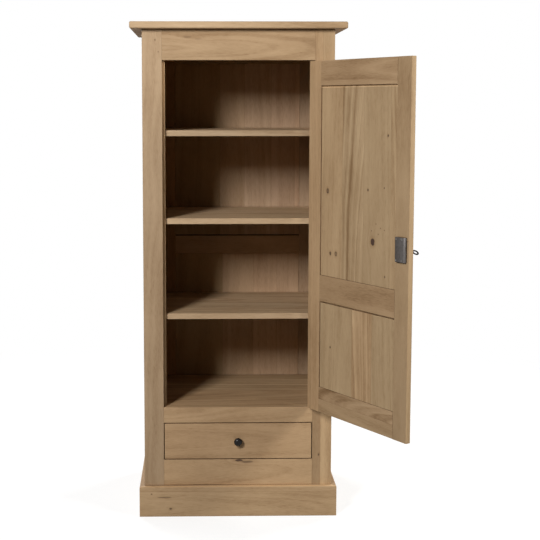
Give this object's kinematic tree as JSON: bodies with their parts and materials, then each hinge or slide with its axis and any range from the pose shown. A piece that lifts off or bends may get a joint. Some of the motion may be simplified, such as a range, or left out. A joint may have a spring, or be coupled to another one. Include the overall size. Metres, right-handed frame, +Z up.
{
  "type": "highboard",
  "caption": "Tall oak cupboard with a face frame, shelves behind a framed door that swings on butt hinges and locks, a drawer below, a cornice and a plinth.",
  "frame": {"origin": "on the floor, midway across the width, in the plane of the face frame's front", "axes": "+X to the right seen from the front, +Y from the front to the back, +Z up"},
  "size_m": [1.012, 1.0661, 1.9],
  "materials": {
    "oak": "pale oak with knots, matt oiled",
    "hinge_steel": "dull steel",
    "screw_steel": "bright steel",
    "lock_steel": "satin steel",
    "key_steel": "dark, worn",
    "plate_brass": "aged, dark",
    "knob_black": "satin black"
  },
  "bodies": {
    "carcass": {"left_side": "oak", "right_side": "oak", "left_stile": "oak", "right_stile": "oak", "top_rail": "oak", "middle_rail": "oak", "lower_rail": "oak", "cornice": "oak", "plinth_front": "oak", "plinth_left": "oak", "plinth_right": "oak", "cupboard_floor": "oak", "upper_shelf": "oak", "middle_shelf": "oak", "lower_shelf": "oak", "back_left_stile": "oak", "back_right_stile": "oak", "back_top_rail": "oak", "back_middle_rail": "oak", "back_bottom_rail": "oak", "back_upper_panel": "oak", "back_lower_panel": "oak", "door_stop": "oak", "left_drawer_runner": "oak", "right_drawer_runner": "oak", "left_drawer_guide": "oak", "right_drawer_guide": "oak", "left_drawer_kicker": "oak", "right_drawer_kicker": "oak", "top_hinge_frame_leaf": "hinge_steel", "middle_hinge_frame_leaf": "hinge_steel", "bottom_hinge_frame_leaf": "hinge_steel", "top_hinge_pin": "hinge_steel", "middle_hinge_pin": "hinge_steel", "bottom_hinge_pin": "hinge_steel", "frame_hinge_screws": "screw_steel"},
    "door": {"door_hinge_stile": "oak", "door_lock_stile": "oak", "door_top_rail": "oak", "door_lock_rail": "oak", "door_bottom_rail": "oak", "door_upper_panel": "oak", "door_lower_panel": "oak", "top_hinge_door_leaf": "hinge_steel", "middle_hinge_door_leaf": "hinge_steel", "bottom_hinge_door_leaf": "hinge_steel", "lock_case": "lock_steel", "keyhole_escutcheon": "plate_brass", "door_hinge_screws": "screw_steel", "lock_screws": "screw_steel"},
    "lock_bolt": {"lock_bolt": "lock_steel"},
    "door_key": {"door_key": "key_steel"},
    "drawer": {"drawer_front": "oak", "drawer_left_side": "oak", "drawer_right_side": "oak", "drawer_back": "oak", "drawer_bottom": "oak", "drawer_knob": "knob_black", "knob_screw": "screw_steel"}
  },
  "joints": [
    {"name": "door_hinge", "type": "hinge", "parent": "carcass", "child": "door", "pos_m": [0.2865, -0.004, 1.092], "axis": [0, 0, 1], "range_deg": [-121, 59]},
    {"name": "key_turn", "type": "hinge", "parent": "door", "child": "door_key", "pos_m": [0.56274, -0.4715, 1.088], "axis": [0.8572, 0.515, 0], "range_deg": [0, 180]},
    {"name": "bolt_slide", "type": "slide", "parent": "door", "child": "lock_bolt", "axis": [0.515, -0.8572, 0], "range_m": [0, 0.012]},
    {"name": "drawer_slide", "type": "slide", "parent": "carcass", "child": "drawer", "axis": [0, -1, 0], "range_m": [0, 0.35]}
  ],
  "couplings": [
    {"joint": "key_turn", "follows": "bolt_slide", "rad_per_m": 261.79}
  ]
}
